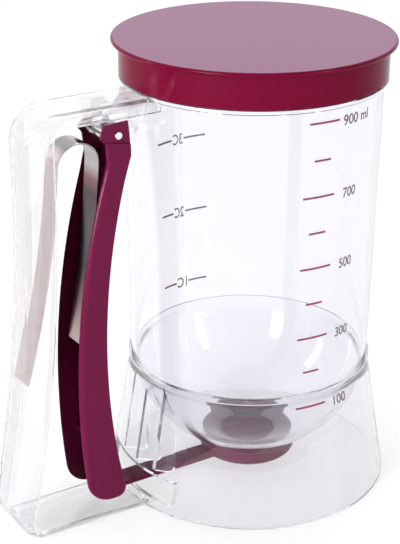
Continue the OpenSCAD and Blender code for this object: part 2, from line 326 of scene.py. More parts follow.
def modify(obj: bpy.types.Object, kind: str, **settings: object) -> None:
    """Adds a modifier and applies it.

    Args:
        obj: The mesh object.
        kind: The modifier's type.
        settings: The modifier's settings.
    """
    activate(obj)
    step = obj.modifiers.new("step", kind)
    for setting, value in settings.items():
        setattr(step, setting, value)
    bpy.ops.object.modifier_apply(modifier=step.name)


def draw(name: str, points: Sequence[Vector], close: bool = True, fill: bool = False) -> bpy.types.Object:
    """Draws an outline point by point, as by hand.

    Args:
        name: The new object's name.
        points: The outline's corners, in millimetres.
        close: True to join the last corner to the first.
        fill: True to fill the closed outline with a face.

    Returns:
        The object, left in edit mode with everything selected.
    """
    rest_selection()
    bpy.ops.mesh.primitive_plane_add(size=0.001, location=points[0] * MM)
    obj = bpy.context.object
    obj.name = obj.data.name = name
    settle(obj)
    bpy.ops.object.mode_set(mode="EDIT")
    bpy.ops.mesh.select_all(action="SELECT")
    bpy.ops.mesh.merge(type="CENTER")
    for here, there in zip(points, points[1:]):
        step = (there - here) * MM
        bpy.ops.mesh.extrude_region_move(TRANSFORM_OT_translate={"value": tuple(step)})
    if close:
        for vert in bmesh.from_edit_mesh(obj.data).verts:
            vert.select_set(len(vert.link_edges) == 1)
        bpy.ops.mesh.edge_face_add()
    bpy.ops.mesh.select_all(action="SELECT")
    if fill:
        bpy.ops.mesh.edge_face_add()
        bpy.ops.mesh.select_all(action="SELECT")
    return obj


def tidy(obj: bpy.types.Object, smooth_deg: float = 30.0) -> bpy.types.Object:
    """Merges doubles, turns the faces outwards and shades smooth below an angle.

    Args:
        obj: The mesh object.
        smooth_deg: Edges sharper than this stay sharp.

    Returns:
        The same object.
    """
    activate(obj)
    bpy.ops.object.mode_set(mode="EDIT")
    bpy.ops.mesh.select_all(action="SELECT")
    bpy.ops.mesh.remove_doubles(threshold=0.000002)
    bpy.ops.mesh.normals_make_consistent(inside=False)
    bpy.ops.object.mode_set(mode="OBJECT")
    bpy.ops.object.shade_smooth_by_angle(angle=math.radians(smooth_deg))
    return obj


def lathe(name: str, section: Sequence[Point2], steps: int = ROUND_STEPS) -> bpy.types.Object:
    """Turns a section of (radius, height) points round the jug's axis.

    Args:
        name: The new object's name.
        section: The section in millimetres, closed, or open with both its ends on the axis.
        steps: Steps of the full turn.

    Returns:
        The turned piece.
    """
    on_axis = section[0][0] == 0 and section[-1][0] == 0
    obj = draw(name, [Vector((r, 0, z)) for r, z in section], close=not on_axis)
    bpy.ops.mesh.spin(steps=steps, angle=math.tau, center=(0, 0, 0), axis=(0, 0, 1))
    return tidy(obj)


def slab(name: str, outline: Sequence[Point2], half: float, middle: float = 0.0) -> bpy.types.Object:
    """Extrudes a side outline of (x, z) points across Y.

    Args:
        name: The new object's name.
        outline: The outline, in millimetres.
        half: Half of the width across Y.
        middle: Y of the slab's middle.

    Returns:
        The slab.
    """
    obj = draw(name, [Vector((x, middle - half, z)) for x, z in outline], fill=True)
    bpy.ops.mesh.extrude_region_move(TRANSFORM_OT_translate={"value": (0, 2 * half * MM, 0)})
    return tidy(obj)


def rod(name: str, axis: Point2, radius: float, half: float, sides: int = 48) -> bpy.types.Object:
    """Adds a round rod across Y.

    Args:
        name: The new object's name.
        axis: X and Z of its axis, in millimetres.
        radius: Its radius, in millimetres.
        half: Half of its length, in millimetres.
        sides: Faces round it.

    Returns:
        The rod.
    """
    rest_selection()
    bpy.ops.mesh.primitive_cylinder_add(
        vertices=sides, radius=radius * MM, depth=2 * half * MM,
        location=(axis[0] * MM, 0, axis[1] * MM), rotation=(math.pi / 2, 0, 0))
    obj = bpy.context.object
    obj.name = obj.data.name = name
    settle(obj)
    return obj


def loft(name: str, rings: Sequence[Sequence[Vector]]) -> bpy.types.Object:
    """Draws the first ring and extrudes it through the others, which have as many points.

    Args:
        name: The new object's name.
        rings: Closed sections in millimetres, in order along the piece.

    Returns:
        The closed piece.
    """
    obj = draw(name, rings[0], fill=True)
    mesh = bmesh.from_edit_mesh(obj.data)
    place = mesh.verts.layers.int.new("place")
    for vert in mesh.verts:
        vert[place] = min(range(len(rings[0])), key=lambda i: (rings[0][i] * MM - vert.co).length)
    bmesh.update_edit_mesh(obj.data)
    for ring in rings[1:]:
        bpy.ops.mesh.extrude_region_move()
        mesh = bmesh.from_edit_mesh(obj.data)
        place = mesh.verts.layers.int["place"]
        for vert in mesh.verts:
            if vert.select:
                vert.co = ring[vert[place]] * MM
        bmesh.update_edit_mesh(obj.data)
    return tidy(obj)


def bevel(obj: bpy.types.Object, pick: Callable[[Vector, Vector], bool], width: float, segments: int) -> None:
    """Rounds the edges whose two ends pass a test.

    Args:
        obj: The mesh object.
        pick: Takes an edge's two ends in millimetres, and says whether it is rounded.
        width: Width of the rounding, in millimetres.
        segments: Steps of the rounding.
    """
    activate(obj)
    bpy.ops.object.mode_set(mode="EDIT")
    bpy.ops.mesh.select_mode(type="EDGE")
    bpy.ops.mesh.select_all(action="DESELECT")
    mesh = bmesh.from_edit_mesh(obj.data)
    for edge in mesh.edges:
        edge.select_set(pick(edge.verts[0].co / MM, edge.verts[1].co / MM))
    bmesh.update_edit_mesh(obj.data)
    bpy.ops.mesh.bevel(offset=width * MM, offset_type="OFFSET", segments=segments, affect="EDGES",
                       clamp_overlap=True)
    bpy.ops.mesh.select_mode(type="VERT")
    bpy.ops.object.mode_set(mode="OBJECT")


def lengthways(a: Vector, b: Vector) -> bool:
    """True for an edge that runs along X."""
    return abs(a.x - b.x) > 1


def at_end(a: Vector, b: Vector) -> bool:
    """True for an edge that stays at one place across Y."""
    return abs(a.y - b.y) < 0.01


def combine(obj: bpy.types.Object, other: bpy.types.Object, how: str) -> None:
    """Cuts other from obj or joins it to obj, and removes other.

    Args:
        obj: The piece that is kept.
        other: The cutter or addition.
        how: DIFFERENCE or UNION.
    """
    modify(obj, "BOOLEAN", operation=how, solver="EXACT", object=other)
    bpy.data.objects.remove(other, do_unlink=True)


def around(centre: Point2, radius: float, start: float, end: float, steps: int) -> List[Point2]:
    """Points on an arc between two directions in degrees."""
    turn = [math.radians(start + (end - start) * i / steps) for i in range(steps + 1)]
    return [(centre[0] + radius * math.cos(a), centre[1] + radius * math.sin(a)) for a in turn]


def arc_centre(a: Point2, b: Point2, c: Point2) -> Tuple[Point2, float]:
    """Finds the circle through three points.

    Args:
        a: The first point.
        b: The second point.
        c: The third point.

    Returns:
        The circle's centre and radius.
    """
    d = 2 * (a[0] * (b[1] - c[1]) + b[0] * (c[1] - a[1]) + c[0] * (a[1] - b[1]))
    sq = [p[0] ** 2 + p[1] ** 2 for p in (a, b, c)]
    x = (sq[0] * (b[1] - c[1]) + sq[1] * (c[1] - a[1]) + sq[2] * (a[1] - b[1])) / d
    y = (sq[0] * (c[0] - b[0]) + sq[1] * (a[0] - c[0]) + sq[2] * (b[0] - a[0])) / d
    return (x, y), math.dist((x, y), a)


def direction(centre: Point2, point: Point2) -> float:
    """Direction in degrees from a centre to a point."""
    return math.degrees(math.atan2(point[1] - centre[1], point[0] - centre[0]))


def dress(obj: bpy.types.Object, body: Optional[Body], slot: Slot, material: bpy.types.Material,
          *nodes: str) -> None:
    """Gives a piece its finish and body, and hides the CAD nodes that it stands for.

    Args:
        obj: The finished piece.
        body: The body that it rides on, None for a piece that rides on none.
        slot: The record's slot of its finish; not used.
        material: Its material.
        nodes: The CAD nodes that it replaces.
    """
    modify(obj, "WEIGHTED_NORMAL", keep_sharp=True)
    obj.data.materials.clear()
    obj.data.materials.append(material)
    if body:
        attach(obj, body.value)
    if nodes:
        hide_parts(*nodes)
    LOG.info("piece %s: %d vertices", obj.name, len(obj.data.vertices))


# ---------------------------------------------------------------- sizes shared by the pieces


@dataclass(frozen=True)
class Sizes:
    """Sizes that the pieces are fitted to each other by, in millimetres.

    The fit is the gap cut between pieces that touch, and over is the cutter's rise above the stop ring.
    """

    bowl_r: float = 50.2
    bowl_z: float = 60.7
    wall: float = 2.0
    ring_z: float = 173.2
    ring_top: float = 174.7
    ring_r: float = 53.3
    wall_top_r: float = 51.8
    neck_r: float = 51.6
    top: float = 187.7
    outlet_r: float = 12.0
    skirt_r: float = 59.4
    cone_top_r: float = 50.6
    collar_r: float = 51.0
    collar_z: float = 53.0
    collar_top: float = 55.5
    pin: Point2 = (-66.8, 162.5)
    fit: float = 0.05
    over: float = 6.0

    def wall_r(self, z: float) -> float:
        """Outside radius of the jug's wall at height z."""
        return self.bowl_r + (self.wall_top_r - self.bowl_r) * (z - self.bowl_z) / (self.ring_z - self.bowl_z)

    def cone_r(self, z: float) -> float:
        """Outside radius of the skirt's cone at height z."""
        return self.skirt_r - (self.skirt_r - self.cone_top_r) * z / self.collar_z

    def face_r(self, z: float) -> float:
        """Outside radius at height z, on the skirt below its collar and on the jug above."""
        return self.cone_r(z) if z < self.collar_z else self.wall_r(z)

    def bowl_height(self, r: float, radius: float) -> float:
        """Height of a sphere round the bowl's centre, below it, at distance r from the axis."""
        return self.bowl_z - math.sqrt(radius ** 2 - r ** 2)

    def jug_cutter(self) -> bpy.types.Object:
        """Turns the jug's outside, filled to the axis and grown by the fit.

        Returns:
            The cutter, for pieces that touch the jug.
        """
        r, ring_r, low = self.bowl_r + self.fit, self.ring_r + self.fit, self.ring_z - self.fit
        section = [(0.0, self.bowl_z - r)] + around((0, self.bowl_z), r, -88, 0, 40)
        section += [(self.wall_top_r + self.fit, low), (ring_r, low), (ring_r, self.ring_top + self.over)]
        return lathe("jug_cutter", section + [(0.0, self.ring_top + self.over)])


# ---------------------------------------------------------------- sub-assemblies


@dataclass
class Jug:
    """The clear jug: outlet, round bottom, tapered wall, stop ring and neck.

    Rows are heights of rings in the wall. Those just below the stop ring keep the view through it straight.
    """

    sizes: Sizes
    finish: ClearPlastic = CLEAR_JUG
    rows: Tuple[float, ...] = (75, 100, 125, 150, 170, 172.6)
    outer_row: float = 172.0
    edge: float = 0.3
    foot: float = 0.25
    foot_rise: float = 0.1
    neck_foot: float = 0.2
    mouth_r: float = 1.0
    mouth_low: float = 0.9
    mouth_low_in: float = 1.6

    def build(self) -> bpy.types.Object:
        """Turns the jug's wall from its closed section.

        Returns:
            The jug.
        """
        s, edge, foot = self.sizes, self.edge, self.foot
        inner_r, neck_in = s.bowl_r - s.wall, s.neck_r - s.wall
        lip = math.degrees(math.asin(s.outlet_r / s.bowl_r)) - 90
        lip_in = math.degrees(math.asin(s.outlet_r / inner_r)) - 90
        section = around((0, s.bowl_z), s.bowl_r, lip + 0.4, 0, 44)
        section += [(s.wall_r(z), z) for z in sorted(self.rows + (self.outer_row,))]
        section += [(s.wall_top_r + foot, s.ring_z - self.foot_rise), (s.ring_r - foot, s.ring_z)]
        section += [(s.ring_r, s.ring_z + edge), (s.ring_r, s.ring_top - edge), (s.ring_r - edge, s.ring_top)]
        section += [(s.neck_r + self.neck_foot, s.ring_top), (s.neck_r, s.ring_top + self.neck_foot)]
        section += [(s.neck_r, s.top - self.mouth_low)]
        section += around((s.neck_r - self.mouth_r, s.top - self.mouth_r), self.mouth_r, 20, 160, 6)
        section += [(neck_in, s.top - self.mouth_low_in), (neck_in, s.ring_z)]
        section += [(s.wall_r(z) - s.wall, z) for z in reversed(self.rows)]
        section += around((0, s.bowl_z), inner_r, 0, lip_in + 0.5, 44)
        section += [(s.outlet_r, s.bowl_height(s.outlet_r, inner_r) - foot),
                    (s.outlet_r, s.bowl_height(s.outlet_r, s.bowl_r) + foot)]
        return lathe("jug_shell", section)

    def run(self) -> bpy.types.Object:
        """Builds and dresses the jug.

        Returns:
            The jug, which the print is laid on.
        """
        jug = self.build()
        dress(jug, Body.JUG, Slot.JUG, self.finish.make(), "jug_body")
        return jug


@dataclass
class BaseSkirt:
    """The flared clear skirt with its collar, the arm's slot and the inner ribs."""

    sizes: Sizes
    finish: ClearPlastic = CLEAR_SKIRT
    rows: Tuple[float, ...] = (14, 28, 42, 52.6)
    bore_rows: Tuple[float, ...] = (55.5, 54.6, 53.6, 52.4, 51.2, 50.2)
    inner_rows: Tuple[float, ...] = (48, 36, 24, 12, 0.4)
    foot_edge: float = 0.5
    foot_edge_in: float = 0.4
    collar_foot: float = 0.1
    collar_edge: float = 0.3
    collar_drop: float = 0.5
    collar_inset: float = 0.4
    slot_x: Point2 = (-70, -40)
    slot_z: Point2 = (4.2, 14.4)
    slot_half: float = 24.0
    slot_round: float = 1.2
    rib_pitch: float = 11.3
    rib_half: float = 0.8
    rib_reach: float = 43.8
    rib_low: float = 12.5
    rib_rise: float = 3.7
    rib_foot_r: float = 2.0
    rib_foot: float = 2.4
    rib_sink: float = 0.9
    rib_under: Tuple[float, ...] = (-43.8, -44.8, -45.7, -46.5, -47.2, -47.8, -48.3)
    rib_rows: Tuple[float, ...] = (36, 26)

    def build_shell(self) -> bpy.types.Object:
        """Turns the skirt, its bore hugging the jug's round bottom.

        Returns:
            The skirt without slot and ribs.
        """
        s = self.sizes
        bore = s.bowl_r + s.fit
        section = [(s.skirt_r - self.foot_edge, 0.0), (s.skirt_r, self.foot_edge)]
        section += [(s.cone_r(z), z) for z in self.rows]
        section += [(s.collar_r - self.collar_foot, s.collar_z), (s.collar_r, s.collar_z + self.collar_edge)]
        section += [(s.collar_r, s.collar_top - self.collar_drop)]
        section += [(s.collar_r - self.collar_inset, s.collar_top)]
        section += [(math.sqrt(bore ** 2 - (s.bowl_z - z) ** 2), z) for z in self.bore_rows]
        section += [(s.cone_r(z) - s.wall, z) for z in self.inner_rows]
        section += [(s.skirt_r - s.wall + self.foot_edge_in, 0.0)]
        return lathe("skirt_shell", section)

    def build_rib(self, y: float) -> bpy.types.Object:
        """Makes one rib, from the jug's round bottom down to its rounded foot.

        Args:
            y: Place of the rib across Y.

        Returns:
            The rib.
        """
        s, foot_r = self.sizes, self.rib_foot_r
        edge = math.sqrt((s.bowl_r + s.fit) ** 2 - y ** 2)
        outline = [(x, s.bowl_height(x, edge)) for x in self.rib_under]
        rows = (outline[-1][1], *self.rib_rows, self.rib_low + self.rib_rise)
        outline += [(-math.sqrt((s.cone_r(z) - self.rib_sink) ** 2 - y ** 2), z) for z in rows]
        outline += [(-self.rib_reach - self.rib_foot, self.rib_low)]
        outline += around((-self.rib_reach - foot_r, self.rib_low + foot_r), foot_r, 285, 360, 6)
        return slab("rib", outline, self.rib_half, y)

    def build(self) -> bpy.types.Object:
        """Cuts the slot and adds the three ribs.

        Returns:
            The finished skirt.
        """
        skirt = self.build_shell()
        (left, right), (low, top) = self.slot_x, self.slot_z
        slot = slab("slot_cutter", [(left, low), (right, low), (right, top), (left, top)], self.slot_half)
        bevel(slot, lengthways, self.slot_round, 4)
        combine(skirt, slot, "DIFFERENCE")
        for side in (-1, 0, 1):
            combine(skirt, self.build_rib(side * self.rib_pitch), "UNION")
        return tidy(skirt)

    def run(self) -> bpy.types.Object:
        """Builds and dresses the skirt.

        Returns:
            The skirt, which the lowest figures are laid on.
        """
        skirt = self.build()
        dress(skirt, Body.JUG, Slot.SKIRT, self.finish.make(), "base_skirt")
        return skirt


@dataclass
class Handle:
    """The clear C-shaped handle, a channel open towards the jug, with its pivot bracket."""

    sizes: Sizes
    finish: ClearPlastic = CLEAR_HANDLE
    half: float = 12.6
    side: float = 1.8
    back: float = 2.0
    grip_x: float = 103.8
    grip_d: float = 9.0
    bend_r: float = 591.0
    bend_z: float = 141.0
    end_x: float = -49.0
    top: float = 174.6
    bar_d: float = 5.0
    top_corner_r: float = 13.0
    foot_corner_r: float = 16.0
    window_corner_r: float = 5.0
    window_foot_r: float = 3.0
    rim: float = 3.4
    back_round: float = 7.8
    least_round: float = 1.6
    least_round_in: float = 0.4
    round_less_in: float = 1.0
    rim_flat: float = 1.2
    round_step: int = 15
    boss_r: float = 4.0
    boss_half: float = 8.5
    boss_round: float = 0.4
    bore_r: float = 1.53
    bore_half: float = 20.0
    rib_half: float = 4.0
    rib_drop: float = 2.0
    rib_back: float = 3.5
    foot_z: Point2 = (-1.0, 20.0)

    def side_line(self, inset: float, corner_top: float, corner_foot: float, low: float,
                  high: float) -> List[Point2]:
        """One long edge of the C, from the top bar's end round to the foot's end.

        Args:
            inset: Distance in front of the handle's back.
            corner_top: Rounding of the upper corner.
            corner_foot: Rounding of the lower corner.
            low: Height of the lower run.
            high: Height of the upper run.

        Returns:
            The edge's points.
        """
        centre = (-self.grip_x - self.bend_r, self.bend_z)
        radius = self.bend_r + inset
        corner = (-self.grip_x + inset + corner_top, high - corner_top)
        z = low + corner_foot
        foot = (centre[0] + math.sqrt((radius + corner_foot) ** 2 - (z - centre[1]) ** 2), z)
        lean = direction(foot, centre)
        points = [(self.end_x, high)] + around(corner, corner_top, 90, 180, 10)
        points += around(centre, radius, 0, lean - 180, 30)
        points += around(foot, corner_foot, lean, 270, 10)[1:]
        return points + [(self.end_x, low)]

    def ring(self, outer: Point2, rim: Point2) -> List[Vector]:
        """The channel's section at one place along the C.

        Args:
            outer: Point on the handle's back, seen from the side.
            rim: Point on the rim round the window.

        Returns:
            The closed section, whose back is rounder where the channel is deeper.
        """
        line = Vector((rim[0] - outer[0], 0, rim[1] - outer[1]))
        deep = line.length
        turn = max(self.least_round, min(self.back_round, deep - self.rim_flat))
        turn_in = max(self.least_round_in, turn - self.round_less_in)
        section = []
        for floor, half, r in ((0.0, self.half, turn), (self.back, self.half - self.side, turn_in)):
            side = [(deep, -half)]
            side += [(floor + r - r * math.cos(math.radians(a)), r - half - r * math.sin(math.radians(a)))
                     for a in range(90, -1, -self.round_step)]
            side += [(depth, -y) for depth, y in side[::-1]]
            points = [Vector((outer[0], y, outer[1])) + line * (depth / deep) for depth, y in side]
            section += points if floor == 0 else points[::-1]
        return section

    def build_frame(self) -> bpy.types.Object:
        """Lofts the hollow C and fits its ends to the jug and the skirt.

        Returns:
            The handle.
        """
        s = self.sizes
        outer = self.side_line(0, self.top_corner_r, self.foot_corner_r, 0, self.top)
        window = self.side_line(self.grip_d, self.window_corner_r, self.window_foot_r, self.rim,
                                self.top - self.bar_d)
        handle = loft("handle_frame", [self.ring(*places) for places in zip(outer, window)])
        combine(handle, s.jug_cutter(), "DIFFERENCE")
        low, high = self.foot_z
        cone = [(0.0, low), (s.cone_r(low) + s.fit, low), (s.cone_r(high) + s.fit, high), (0.0, high)]
        combine(handle, lathe("cone_cutter", cone), "DIFFERENCE")
        return tidy(handle)

    def build_bracket(self) -> bpy.types.Object:
        """Makes the rib under the top bar and the boss that holds the pin.

        Returns:
            The bracket.
        """
        x, z = self.sizes.pin
        under, foot, left = self.top - self.back - self.sizes.fit, z - self.rib_drop, x - self.boss_r
        outline = [(self.end_x, under), (left, under), (left, z)]
        outline += around((x, z), self.boss_r, 180, 208, 3)
        outline += [(x - self.rib_back, foot), (self.end_x, foot)]
        bracket = slab("pivot_bracket_clear", outline, self.rib_half)
        boss = rod("boss", (x, z), self.boss_r, self.boss_half)
        bevel(boss, at_end, self.boss_round, 2)
        combine(bracket, boss, "UNION")
        combine(bracket, rod("bore", (x, z), self.bore_r, self.bore_half), "DIFFERENCE")
        combine(bracket, self.sizes.jug_cutter(), "DIFFERENCE")
        return tidy(bracket)

    def run(self) -> None:
        """Builds and dresses the handle and its bracket."""
        material = self.finish.make()
        dress(self.build_frame(), Body.JUG, Slot.HANDLE, material, "handle")
        dress(self.build_bracket(), Body.JUG, Slot.HANDLE, material, "pivot_bracket")


@dataclass
class Trigger:
    """The maroon trigger: hollow lever, arm and cup, with the seal pad.

    Places on the lever are given in lever depths forward of the pin and in lever heights below it. The side
    edges' rounding is small at the ears and in front, and swells to the full rear rounding above the heel.
    """

    sizes: Sizes
    finish: GlossPlastic = TRIGGER_GLOSS
    dish_sheen_finish: GlossPlastic = DISH_PAINTED_SHEEN
    channel_shade_finish: GlossPlastic = CHANNEL_PAINTED_SHADE
    rubber: Rubber = SEAL_RUBBER
    depth: float = 13.0
    low: float = 7.2
    half: float = 10.5
    half_in: float = 8.8
    web: float = 1.8
    front_places: Tuple[Point2, ...] = ((0.4, 0.055), (-0.515, 0.614), (0.015, 0.969))
    rear_places: Tuple[Point2, ...] = ((-0.354, 0.064), (-1.515, 0.661), (-1.385, 0.883))
    ear_front: Tuple[Point2, ...] = ((0.323, -0.033), (0.369, -0.001), (0.4, 0.042))
    ear_rear: Tuple[Point2, ...] = ((-0.408, 0.019), (-0.592, 0.002), (-0.462, -0.03))
    rib_places: Tuple[Point2, ...] = ((-1.123, 0.531), (-0.96, 0.827))
    rib_half: float = 1.0
    rib_root: float = 0.6
    rib_sink: float = 0.4
    rear_r: float = 11.0
    front_r: float = 4.0
    floor_top: float = 9.4
    toe_wall_x: float = -74.8
    clear_x: Point2 = (-110, -50)
    clear_top: float = 185.0
    clear_under: float = 4.0
    channel_x: float = -68.0
    channel_low: float = 1.5
    arm_x: Point2 = (-69.6, -15)
    arm_z: Point2 = (7.5, 10.3)
    arm_half: float = 4.25
    arm_round: float = 0.4
    cup_r: float = 20.6
    cup_low: float = 6.5
    cup_top: float = 13.5
    cup_gap: float = 0.6
    cup_round: float = 3.0
    cup_rim_round: float = 0.6
    dish_steps: int = 6
    seal_r: float = 13.5
    seal_low: float = 9.655
    seal_top: float = 11.655
    seal_fit: float = 0.02
    seal_round: float = 0.5
    seal_rim: float = 3.2
    seal_step: float = 3.6
    pin_hole_r: float = 1.55
    pin_hole_half: float = 20.0
    ledge_drop: float = 3.0
    ledge_slope: float = 0.17
    ear_step: float = 0.9
    ear_cut_x: Point2 = (-84, -54)
    ear_cut_top: float = 176.0
    ear_cut_half: float = 0.7
    ear_round: float = 0.7
    front_round: float = 1.2
    rear_round: float = 2.3
    heel_gain: float = 0.2
    heel_steps: int = 12
    long_steps: int = 36
    round_steps: int = 7
    fade_z: float = 155.0
    fade: float = 10.0
    swell: float = 30.0

    def ledge(self, x: float) -> float:
        """Height of the ledge below the thinner ear, at x."""
        return self.sizes.pin[1] - self.ledge_drop - self.ledge_slope * (x - self.sizes.pin[0])

    def height(self, drop: float) -> float:
        """Height of a place on the lever."""
        return self.sizes.pin[1] - drop * (self.sizes.pin[1] - self.low)

    def at(self, x: float, drop: float) -> Point2:
        """X and Z of a place on the lever."""
        return self.sizes.pin[0] + x * self.depth, self.height(drop)

    def arc(self, places: Sequence[Point2]) -> Tuple[Point2, float]:
        """Centre and radius of the arc through three places on the lever."""
        return arc_centre(*(self.at(*place) for place in places))

    def side_round(self, z: float, large: float) -> float:
        """Radius of a side edge's rounding at height z, which shrinks to the ear's near the pin."""
        return self.ear_round + (large - self.ear_round) * min(1, max(0, (self.fade_z - z) / self.fade))

    def outline(self) -> Tuple[List[Point2], List[float]]:
        """The lever seen from the side, from the ear's front down and round to its rear.

        Returns:
            The outline's points, and the radius of the side edge's rounding at each.
        """
        (front, front_r), (rear, rear_r) = self.arc(self.front_places), self.arc(self.rear_places)
        z = self.low + self.front_r
        toe = (front[0] - math.sqrt((front_r + self.front_r) ** 2 - (z - front[1]) ** 2), z)
        z = self.low + self.rear_r
        heel = (rear[0] - math.sqrt((rear_r - self.rear_r) ** 2 - (z - rear[1]) ** 2), z)
        front_top = math.degrees(math.asin((self.height(self.front_places[0][1]) - front[1]) / front_r))
        rear_top = math.degrees(math.asin((self.height(self.rear_places[0][1]) - rear[1]) / rear_r))
        toe_lean, heel_lean = direction(toe, front), direction(rear, heel) % 360
        line = [self.at(*place) for place in self.ear_front]
        line += around(front, front_r, 180 - front_top, 180 + toe_lean, self.long_steps)
        line += around(toe, self.front_r, toe_lean, -90, 8)[1:]
        turns = [self.side_round(z, self.front_round) for _, z in line]
        line += around(heel, self.rear_r, 270, heel_lean, self.heel_steps)
        turns += [self.front_round + self.heel_gain * i / self.heel_steps for i in range(self.heel_steps + 1)]
        upper = around(rear, rear_r, heel_lean, 180 - rear_top, self.long_steps)[1:]
        least, large = self.front_round + self.heel_gain, self.rear_round
        turns += [min(least + (large - least) * max(0, (z - self.low - self.rear_r) / self.swell),
                      self.side_round(z, large), large) for _, z in upper]
        line += upper + [self.at(*place) for place in self.ear_rear]
        return line, turns + [self.ear_round] * len(self.ear_rear)

    def rings(self) -> List[List[Vector]]:
        """Sections of the lever across Y, drawn in near both sides so that its edges come out round.

        Returns:
            The closed sections, from one side to the other.
        """
        line, turns = self.outline()
        edges = list(zip(line, line[1:] + line[:1]))
        turn = 1 if sum(a[0] * b[1] - b[0] * a[1] for a, b in edges) > 0 else -1
        sides = [Vector((b[0] - a[0], b[1] - a[1])).normalized() for a, b in edges]
        inward = [Vector((-side.y, side.x)) * turn for side in sides]
        drift = [(inward[i - 1] + inward[i]) / (1 + inward[i - 1].dot(inward[i])) for i in range(len(line))]
        levels = [self.rear_round * (1 - math.cos(math.radians(90 * i / self.round_steps)))
                  for i in range(self.round_steps + 1)]
        rings = []
        for side, depths in ((-1, levels), (1, levels[::-1])):
            for depth in depths:
                insets = [r - math.sqrt(r ** 2 - (r - depth) ** 2) if depth < r else 0.0 for r in turns]
                rings.append([Vector((x + way.x * inset, side * (self.half - depth), z + way.y * inset))
                              for (x, z), way, inset in zip(line, drift, insets)])
        return rings

    def build_lever(self) -> bpy.types.Object:
        """Makes the rounded lever, hollows it, adds the cross ribs and thins the ears.

        Returns:
            The lever.
        """
        lever = loft("lever", self.rings())
        front, front_r = self.arc(self.front_places)
        inner, low = front_r + self.web, self.low - self.clear_under
        top = self.height(self.front_places[0][1]) + 0.01
        low_in = math.degrees(math.asin((self.floor_top - front[1]) / inner))
        high_in = math.degrees(math.asin((top - front[1]) / inner))
        rear, fore = self.clear_x
        hollow = around(front, inner, 180 - high_in, 180 - low_in, self.long_steps)
        hollow += [(self.toe_wall_x, self.floor_top), (self.toe_wall_x, low), (rear, low)]
        hollow += [(rear, self.clear_top), (fore, self.clear_top), (fore, top)]
        combine(lever, slab("lever_hollow", hollow, self.half_in), "DIFFERENCE")
        for place in self.rib_places:
            (end, z), half = self.at(*place), self.rib_half
            web = front[0] - math.sqrt((inner - self.rib_root) ** 2 - (z - front[1]) ** 2)
            outline = [(end, z - half), (web, z - half), (web, z + half), (end, z + half)]
            combine(lever, slab("cross_rib", outline, self.half_in + self.rib_sink), "UNION")
        left, right = self.ear_cut_x
        step = [(left, self.ledge(left)), (right, self.ledge(right))]
        step += [(right, self.ear_cut_top), (left, self.ear_cut_top)]
        for side in (-1, 1):
            middle = side * (self.half - self.ear_step + self.ear_cut_half)
            combine(lever, slab("ear_step", step, self.ear_cut_half, middle), "DIFFERENCE")
        combine(lever, rod("pin_hole", self.sizes.pin, self.pin_hole_r, self.pin_hole_half), "DIFFERENCE")
        return tidy(lever, 35)

    def build_arm(self) -> bpy.types.Object:
        """Makes the flat arm between the lever's toe and the cup.

        Returns:
            The arm.
        """
        (left, right), (low, top) = self.arm_x, self.arm_z
        arm = slab("arm", [(left, low), (right, low), (right, top), (left, top)], self.arm_half)
        bevel(arm, lengthways, self.arm_round, 2)
        return tidy(arm)

    def build_cup(self) -> bpy.types.Object:
        """Turns the cup with its dish and the seal's pocket.

        Returns:
            The cup.
        """
        s, foot, edge = self.sizes, self.cup_round, self.cup_rim_round
        dish = s.bowl_r + self.cup_gap
        rim_r = math.sqrt(dish ** 2 - (s.bowl_z - self.cup_top) ** 2)
        section = [(0.0, self.cup_low), (self.cup_r - foot, self.cup_low)]
        section += around((self.cup_r - foot, self.cup_low + foot), foot, -82, 0, 8)
        section += around((self.cup_r - edge, self.cup_top - edge), edge, 0, 90, 4)
        for i in range(self.dish_steps + 1):
            r = rim_r + (self.seal_r - rim_r) * i / self.dish_steps
            section.append((r, s.bowl_height(r, dish)))
        section += [(self.seal_r, self.seal_low), (0.0, self.seal_low)]
        return lathe("cup", section, 128)

    def build_seal(self) -> bpy.types.Object:
        """Turns the seal pad with a raised rim.

        Returns:
            The pad.
        """
        r, low, edge = self.seal_r - self.seal_fit, self.seal_low + self.seal_fit, self.seal_round
        face = self.seal_top - edge
        section = [(0.0, low), (r, low), (r, face)] + around((r - edge, face), edge, 20, 90, 4)
        section += [(r - self.seal_rim, self.seal_top), (r - self.seal_step, face), (0.0, face)]
        return lathe("seal_pad", section, 96)

    def takes_channel_shade(self, point: Vector) -> bool:
        """True for a point on the faces inside the lever's channel.

        Args:
            point: The point, in millimetres.

        Returns:
            True where the channel's painted shade goes.
        """
        front, front_r = self.arc(self.front_places)
        behind_web = math.dist((point.x, point.z), front) > front_r + self.web - 0.2
        return (abs(point.y) < self.half_in + 0.05 and behind_web and point.x < self.channel_x
                and self.low + self.channel_low < point.z < self.height(0.02))

    def run(self) -> None:
        """Builds and dresses the trigger's pieces."""
        lever = self.build_lever()
        combine(lever, self.build_arm(), "UNION")
        combine(lever, self.build_cup(), "UNION")
        tidy(lever, 35)
        lever.name = lever.data.name = "trigger_moulding"
        nodes = ("trigger_lever", "valve_arm", "valve_cup")
        dress(lever, Body.TRIGGER, Slot.TRIGGER, self.finish.make(), *nodes)
        # The cup's upward faces take a lighter, bluer copy of the maroon, a painted sheen.
        lever.data.materials.append(self.dish_sheen_finish.make())
        # The faces inside the channel take a darker copy of the maroon, a painted shade.
        lever.data.materials.append(self.channel_shade_finish.make())
        for face in lever.data.polygons:
            takes_dish_sheen = face.center.xy.length < (self.cup_r - 0.3) * MM and face.normal.z > 0.1
            face.material_index = 1 if takes_dish_sheen else 2 if self.takes_channel_shade(face.center / MM) else 0
        dress(self.build_seal(), Body.TRIGGER, Slot.SEAL, self.rubber.make(), "valve_seal")


